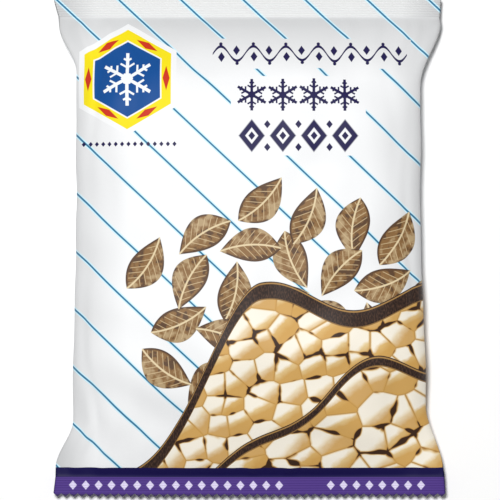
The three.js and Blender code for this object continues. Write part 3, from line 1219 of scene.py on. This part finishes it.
@dataclass(frozen=True)
class LeafDrift:
    """Fallen brown leaves, one to each cell of a turned grid, and each turned its own way."""

    layer: int  # seeds its leaves
    shift: float  # moves its grid, in cells
    middle: Point
    reach: Point = (78.0, 62.0)
    pitch: float = 32.5
    turn: float = 0.5
    half_length: float = 15.0
    half_width: float = 8.2
    stray: float = 2.4
    bend: float = 0.011
    bend_shift: float = 0.8
    fullness: float = 0.25  # how much wider a leaf is towards its tip than towards its stalk
    vein_pitch: float = 3.6
    vein_slant: float = 0.9
    vein_half: Point = (0.22, 0.2)  # half the width of a line, and how softly it ends
    midrib_half: Point = (0.42, 0.25)
    # how far within its edge each ink starts, and how softly
    rim: Point = (0.9, 0.8)
    vein_rim: Point = (1.4, 0.3)
    mottle_scale: float = 0.22
    seed: float = 3.0

    def cells(self, x: Field, y: Field) -> tuple[Field, Field, Field, list[Field]]:
        """Finds each point's cell of the grid.

        Args:
            x: Place across the web.
            y: Place up it.

        Returns:
            Place within the leaf's cell, a mask of the cells that have a leaf, and the cell's random shares.
        """
        tree = x.tree
        cosine, sine = math.cos(self.turn), math.sin(self.turn)
        column = (x * cosine + y * sine) / self.pitch + self.shift
        row = (y * cosine - x * sine) / self.pitch + self.shift
        whole_column = column.op("FLOOR")
        whole_row = row.op("FLOOR")
        cell = add_node(tree, "CombineXYZ", {}, {0: whole_column, 1: whole_row, 2: self.seed + self.layer})
        chance = add_node(tree, "TexWhiteNoise", {}, {"Vector": cell.outputs[0]})
        shares = add_node(tree, "SeparateColor", {}, {0: chance.outputs["Color"]})
        share = [Field(tree, socket) for socket in shares.outputs]
        centre_column = (whole_column + (0.5 - self.shift)) * self.pitch
        centre_row = (whole_row + (0.5 - self.shift)) * self.pitch
        out_x = (centre_column * cosine - centre_row * sine - self.middle[0]) / self.reach[0]
        out_y = (centre_column * sine + centre_row * cosine - self.middle[1]) / self.reach[1]
        shown = (out_x * out_x + out_y * out_y).below(1.0, 0.01)
        local_x = (column - whole_column - 0.5) * self.pitch + (share[0] - 0.5) * self.stray
        local_y = (row - whole_row - 0.5) * self.pitch + (share[1] - 0.5) * self.stray
        return local_x, local_y, shown, share

    def lay(self, inks: InkStack, x: Field, y: Field) -> None:
        """Lays its inks."""
        tree = x.tree
        local_x, local_y, shown, share = self.cells(x, y)
        turn = share[2] * (2 * math.pi)
        turn_cosine, turn_sine = turn.op("COSINE"), turn.sine()
        along = local_x * turn_cosine + local_y * turn_sine
        aside = local_y * turn_cosine - local_x * turn_sine
        bent = aside + along * along * self.bend - self.bend_shift
        ratio = along / self.half_length
        half = (1.0 - ratio * ratio) * (ratio * self.fullness + 1.0) * self.half_width
        past_edge = abs(bent) - half
        inside = shown * past_edge.below(0.0, 0.2)
        place = add_node(tree, "CombineXYZ", {}, {0: x, 1: y}).outputs[0]
        links = {"Vector": place, "Scale": self.mottle_scale, "Detail": 5.0}
        mottle = Field(tree, add_node(tree, "TexNoise", {"noise_dimensions": "2D"}, links).outputs[0])
        lit = bent / self.half_width
        inks.lay(inside, Ink.LEAF_RIM)
        inks.lay(inside * (past_edge + self.rim[0]).below(0.0, self.rim[1]), Ink.LEAF_BROWN)
        inks.lay(inside * (0.62 - mottle - lit * 0.16).below(0.0, 0.16), Ink.LEAF_PALE)
        inks.lay(inside * (mottle + lit * 0.1).below(0.4, 0.1), Ink.LEAF_DARK)
        veins = abs((along - abs(bent) * self.vein_slant).repeat(self.vein_pitch)).below(*self.vein_half)
        veins = veins * (past_edge + self.vein_rim[0]).below(0.0, self.vein_rim[1])
        inks.lay(inside * veins, Ink.LEAF_VEIN)
        inks.lay(inside * abs(bent).below(*self.midrib_half), Ink.LEAF_MIDRIB)


@dataclass(frozen=True)
class BackPanels:
    """A ruled and empty panel on each half of the back."""

    place: Point = (146.0, 4.0)
    half: Point = (33.0, 78.0)
    rule_pitch: float = 13.0
    margin: float = 3.5

    def lay(self, inks: InkStack, x: Field, y: Field) -> None:
        """Lays its inks."""
        outside = outside_box(abs(x), y, self.place, self.half)
        inks.lay(outside.below(0.0), Ink.FILM)
        inks.lay(abs(outside + 0.4).below(0.35), Ink.NAVY)
        rules = abs((y - self.place[1]).repeat(self.rule_pitch)).below(0.2) * outside.below(-self.margin)
        inks.lay(rules, Ink.RULE)


@dataclass(frozen=True)
class Bands:
    """The navy band over the purple bottom seal, with two rows of white lozenges."""

    band_top: float = -109.5
    seal_top: float = -114.25
    teeth_top: float = -122.75
    row_height: float = -118.3
    rows: tuple[Point, ...] = ((-36.4, 54.4), (62.8, 25.6))  # the middle and half the length of each
    lozenge: Point = (2.0, 2.3)
    lozenge_pitch: float = 6.4
    lozenge_phase: float = -30.0

    def lay(self, inks: InkStack, x: Field, y: Field) -> None:
        """Lays its inks."""
        inks.lay(y.below(self.band_top), Ink.BAND)
        inks.lay(y.below(self.seal_top), Ink.PURPLE)
        inks.lay(y.below(self.teeth_top, 0.3), Ink.PURPLE_EDGE)
        left, right = (abs(x - middle) - half for middle, half in self.rows)
        along = (x - self.lozenge_phase).repeat(self.lozenge_pitch)
        lozenges = lozenge(along, y - self.row_height, *self.lozenge)
        inks.lay(lozenges * left.lesser(right).below(0.0), Ink.LILAC)


@dataclass(frozen=True)
class Stripes:
    """Thin teal lines with a pale halo, falling to the right round the pouch, but clear of the bold rows."""

    pitch: float = 30.8
    phase: float = -4.65
    fall: float = 0.94
    half_width: float = 0.42
    halo: float = 0.6
    # the middle and half the size of each box that is kept clear
    clear: tuple[tuple[Point, Point], ...] = (((30.0, 95.0), (50.0, 7.6)), ((24.0, 64.2), (33.0, 19.6)))

    def lay(self, inks: InkStack, x: Field, y: Field, top: float) -> None:
        """Lays its inks, with the phase counted along the pouch's top edge."""
        along = x + y / self.fall - (top / self.fall + self.phase)
        distance = abs(along.repeat(self.pitch)) * (self.fall / math.hypot(1, self.fall))
        rows, friezes = (outside_box(x, y, centre, half) for centre, half in self.clear)
        shown = (0.0 - rows.lesser(friezes)).below(0.0, 0.3)
        inks.lay(distance.below(self.half_width + self.halo, 0.25) * shown, Ink.TEAL_HALO)
        inks.lay(distance.below(self.half_width, 0.2) * shown, Ink.TEAL)


@dataclass(frozen=True)
class PaintedFilmShade:
    """Painted shade on the white film: grey tones down its rounded sides, on the slope under the top seal,
    over the crimped top seal and at its corners.

    Each fade is its middle and its length.
    """

    fold_place: float = 97.5
    fold_half: float = 11.0
    side_shade_fade: Point = (17.0, 20.0)
    side_shade_share: float = 0.9
    body_middle: float = 8.0
    body_fade: Point = (74.0, 64.0)
    under_seal_shade_fade: Point = (18.0, 27.0)
    seal_shade_fade: Point = (0.0, 0.6)
    corner_shade_fade: Point = (2.0, 17.0)

    def lay(self, inks: InkStack, x: Field, y: Field, seal_edge: float) -> None:
        """Lays the painted shade, from the body's sides to the top seal and the corners."""
        from_fold = abs(abs(x) - self.fold_place) - self.fold_half
        body = abs(y - self.body_middle).below(*self.body_fade)
        # painted shade down the rounded sides, along the body's middle
        inks.lay(from_fold.below(*self.side_shade_fade) * body * self.side_shade_share, Ink.SIDE_SHADE_PAINT)
        under_seal = seal_edge - y
        # painted shade on the slope just under the top seal
        inks.lay(under_seal.below(*self.under_seal_shade_fade), Ink.UNDER_SEAL_SHADE_PAINT)
        # painted shade over the crimped top seal, standing in for its ribs' shading
        inks.lay(under_seal.below(*self.seal_shade_fade), Ink.SEAL_SHADE_PAINT)
        # painted shade at the corners, towards the seals
        inks.lay(from_fold.below(*self.corner_shade_fade) * (1.0 - body), Ink.CORNER_SHADE_PAINT)


@dataclass(frozen=True)
class PouchPrint:
    """The film's print, in millimetres on the flat web: X across it and Y up it.

    Its pictures are plain ornament: frost crystals, lozenges, a running vine, tiled hills and fallen leaves.
    """

    top: float = 124.0
    seal_edge: float = 114.0
    # painted shade on the white film, laid under the print
    painted_film_shade: PaintedFilmShade = PaintedFilmShade()
    stripes: Stripes = Stripes()
    ornaments: tuple[Ornament, ...] = (
        BackPanels(),
        Badge(),
        Vine(),
        Friezes(),
        LeafDrift(0, 0.0, (14.0, -34.0)),
        LeafDrift(1, 0.5, (22.0, -30.0)),
        Hill(Slope(-119.0, 95.0, -68.0, 6.0), Roll(7.0, 13.0, 10.0), 8.5, Tiling(12.5, 0.0)),
        Hill(Slope(-116.0, 58.0, -34.0, 66.0), Roll(5.0, 10.5, 21.0), 5.0, Tiling(14.375, 7.3)),
        Bands(),
    )

    def paint(self, x: Field, y: Field) -> Any:
        """Lays every ink.

        Args:
            x: Place across the web.
            y: Place up it.

        Returns:
            The socket of the printed colour.
        """
        inks = InkStack(x.tree, Ink.FILM)
        self.painted_film_shade.lay(inks, x, y, self.seal_edge)
        self.stripes.lay(inks, x, y, self.top)
        for ornament in self.ornaments:
            ornament.lay(inks, x, y)
        return inks.colour


@dataclass(frozen=True)
class PrintedFilm:
    """White polyethylene film, gravure printed: satin gloss, with a fine crinkle from handling.

    The crinkle breaks the lamp's reflection into a soft sheen. It stops at the end seals, where the film is
    pressed flat.
    """

    roughness: float = 0.55
    ior: float = 1.46
    specular: float = 0.25  # under the usual 0.5, because the ink's binder dulls the film
    crinkle_size: float = 5.0
    crinkle_depth: float = 0.05
    crinkle_strength: float = 0.6
    crinkle_fade: Point = (-1.0, 3.0)  # against the seals' inner edges

    def make(self, artwork: PouchPrint) -> bpy.types.Material:
        """Makes the material.

        Args:
            artwork: The print on it.

        Returns:
            The material.
        """
        material = bpy.data.materials.new("printed_film")
        material.use_nodes = True
        tree = material.node_tree
        shader = tree.nodes["Principled BSDF"]
        uv = add_node(tree, "UVMap", {"uv_map": "print"}).outputs[0]
        scaled = add_node(tree, "VectorMath", {"operation": "SCALE"}, {0: uv, "Scale": 1 / MM})
        split = add_node(tree, "SeparateXYZ", {}, {0: scaled.outputs[0]})
        x, y = Field(tree, split.outputs[0]), Field(tree, split.outputs[1])
        tree.links.new(artwork.paint(x, y), shader.inputs["Base Color"])
        shader.inputs["Roughness"].default_value = self.roughness
        shader.inputs["IOR"].default_value = self.ior
        shader.inputs["Specular IOR Level"].default_value = self.specular
        place = add_node(tree, "TexCoord").outputs["Object"]
        links = {"Vector": place, "Scale": 1 / (self.crinkle_size * MM)}
        crinkle = Field(tree, add_node(tree, "TexNoise", {"noise_dimensions": "3D"}, links).outputs[0])
        start, length = self.crinkle_fade
        height = crinkle * abs(y).below(artwork.seal_edge + start, length)
        links = {"Height": height, "Distance": self.crinkle_depth * MM, "Strength": self.crinkle_strength}
        bump = add_node(tree, "Bump", {}, links)
        tree.links.new(bump.outputs[0], shader.inputs["Normal"])
        return material


@dataclass(frozen=True)
class MeltedFilm:
    """Polyethylene film melted by a hot needle: glossy and slightly yellowed, with painted shade on the
    bore's floor for the dark down the hole.

    Its shine and its soft flow marks tell the rims from the satin film round them.
    """

    rim: str = "#dcdad2"
    # painted shade: the dark down the vent's hole, laid on the shallow recess's floor
    bore: str = "#3c3a38"
    flow: str = "#f2f1ec"
    flow_share: float = 0.35
    flow_size: float = 1.5
    flow_depth: float = 0.08
    roughness: float = 0.3

    def make(self, name: str, colour: str) -> bpy.types.Material:
        """Makes the material of the rim or of the bore.

        Args:
            name: The material's name.
            colour: Its colour.

        Returns:
            The material.
        """
        material = bpy.data.materials.new(name)
        material.use_nodes = True
        tree = material.node_tree
        shader = tree.nodes["Principled BSDF"]
        place = add_node(tree, "TexCoord").outputs["Object"]
        links = {"Vector": place, "Scale": 1 / (self.flow_size * MM), "Detail": 3.0}
        flow = add_node(tree, "TexNoise", {}, links).outputs[0]
        links = {0: Field(tree, flow) * self.flow_share, 6: linear(colour), 7: linear(self.flow)}
        mixed = add_node(tree, "Mix", {"data_type": "RGBA"}, links).outputs[2]
        tree.links.new(mixed, shader.inputs["Base Color"])
        shader.inputs["Roughness"].default_value = self.roughness
        bump = add_node(tree, "Bump", {}, {"Height": flow, "Distance": self.flow_depth * MM})
        tree.links.new(bump.outputs[0], shader.inputs["Normal"])
        return material


@dataclass(frozen=True)
class FrozenTuber:
    """Peeled and frozen starchy tuber: cream and matt, with a thin white frost.

    The frost lies in fine grains, which are both paler and rougher than the cut flesh between them.
    """

    flesh: str = "#eeddb4"
    frost: str = "#f8f5ea"
    frost_size: float = 2.2
    frost_depth: float = 0.3
    roughness: tuple[float, float] = (0.55, 0.85)

    def make(self) -> bpy.types.Material:
        """Makes the material."""
        material = bpy.data.materials.new("frozen_tuber")
        material.use_nodes = True
        tree = material.node_tree
        shader = tree.nodes["Principled BSDF"]
        place = add_node(tree, "TexCoord").outputs["Object"]
        links = {"Vector": place, "Scale": 1 / (self.frost_size * MM), "Detail": 6.0}
        grain = add_node(tree, "TexNoise", {}, links).outputs[0]
        links = {0: grain, 6: linear(self.flesh), 7: linear(self.frost)}
        colour = add_node(tree, "Mix", {"data_type": "RGBA"}, links).outputs[2]
        tree.links.new(colour, shader.inputs["Base Color"])
        smooth, rough = self.roughness
        matt = add_node(tree, "MapRange", {}, {"Value": grain, "To Min": smooth, "To Max": rough})
        tree.links.new(matt.outputs[0], shader.inputs["Roughness"])
        bump = add_node(tree, "Bump", {}, {"Height": grain, "Distance": self.frost_depth * MM})
        tree.links.new(bump.outputs[0], shader.inputs["Normal"])
        return material


@dataclass
class Studio:
    """A white table, one soft lamp up to the left, and a camera that looks straight down."""

    view_width: float = 247.6
    aim: Point = (0.35, -1.6)
    aim_height: float = 15.0
    lens: float = 260.0
    sensor: float = 36.0
    lamp_distance: float = 1600.0
    lamp_size: float = 250.0
    lamp_tilt: Point = (-4.6, 8.5)  # degrees towards +X and towards +Y
    lamp_power: float = 23.2
    fill: float = 0.18
    floor_size: float = 3000.0
    floor_colour: str = "#fbfbfb"
    floor_roughness: float = 0.9
    floor_specular: float = 0.1

    def camera(self) -> None:
        """Looks straight down on the pouch from as far as its frame needs."""
        data = bpy.data.cameras.new("camera")
        data.lens = self.lens
        data.sensor_width = self.sensor
        distance = self.view_width * self.lens / self.sensor
        camera = bpy.data.objects.new("camera", data)
        camera.location = (self.aim[0] * MM, self.aim[1] * MM, (self.aim_height + distance) * MM)
        bpy.context.scene.collection.objects.link(camera)
        bpy.context.scene.camera = camera

    def floor(self) -> Piece:
        """Lays the white table."""
        bpy.ops.object.select_all(action="DESELECT")
        bpy.ops.mesh.primitive_plane_add(size=self.floor_size * MM)
        floor = bpy.context.object
        floor.name = "table"
        material = bpy.data.materials.new("white_table")
        material.use_nodes = True
        shader = material.node_tree.nodes["Principled BSDF"]
        shader.inputs["Base Color"].default_value = linear(self.floor_colour)
        shader.inputs["Roughness"].default_value = self.floor_roughness
        shader.inputs["Specular IOR Level"].default_value = self.floor_specular
        floor.data.materials.append(material)
        return floor

    def lamp(self) -> None:
        """Hangs the soft lamp, tilted towards the pouch."""
        data = bpy.data.lights.new("softbox", "AREA")
        data.shape = "DISK"
        data.size = self.lamp_size * MM
        data.energy = self.lamp_power
        lamp = bpy.data.objects.new("softbox", data)
        tilt_x, tilt_y = (math.tan(math.radians(a)) for a in self.lamp_tilt)
        place = Vector((tilt_x, tilt_y, 1)).normalized() * self.lamp_distance * MM
        lamp.location = place
        lamp.rotation_euler = place.to_track_quat("Z", "Y").to_euler()
        bpy.context.scene.collection.objects.link(lamp)

    def world(self) -> None:
        """Fills the shade evenly."""
        world = bpy.data.worlds.new("studio")
        world.use_nodes = True
        background = world.node_tree.nodes["Background"]
        background.inputs[0].default_value = (1, 1, 1, 1)
        background.inputs[1].default_value = self.fill
        bpy.context.scene.world = world

    def build(self) -> None:
        """Sets the whole studio up."""
        self.camera()
        self.floor()
        self.lamp()
        self.world()
        bpy.context.scene.view_settings.view_transform = "Standard"


def main() -> None:
    """Dresses the frame, piece by piece."""
    logging.basicConfig(level=logging.INFO, format="%(name)s: %(message)s")
    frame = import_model()
    Studio().build()
    form = PouchForm()
    film_material = PrintedFilm().make(PouchPrint())
    relief = FilmRelief(form)
    skin = FilmSkin(form, relief).build()
    fin = FinSeal(form, relief).build()
    for piece in (skin, fin):
        piece.data.materials.append(film_material)
        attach(piece, "root")
        log.info("%s has %d faces", piece.name, len(piece.data.polygons))
    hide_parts("pouch_film")
    vents = VentRims()
    melted = MeltedFilm()
    # the second finish is painted shade on the bore's floor
    finishes = (melted.make("melted_film", melted.rim), melted.make("needle_bore_painted_shade", melted.bore))
    for index in range(len(vents.places)):
        rim = vents.build(skin, index)
        for slot, finish in enumerate(finishes):
            rim.data.materials[slot] = finish
        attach(rim, "root")
        log.info("%s has %d faces", rim.name, len(rim.data.polygons))
    tuber = FrozenTuber().make()
    for name, node in frame["nodes"].items():
        if name.startswith("tuber_piece"):
            node.data.materials.clear()
            node.data.materials.append(tuber)


if __name__ == "__main__":
    main()
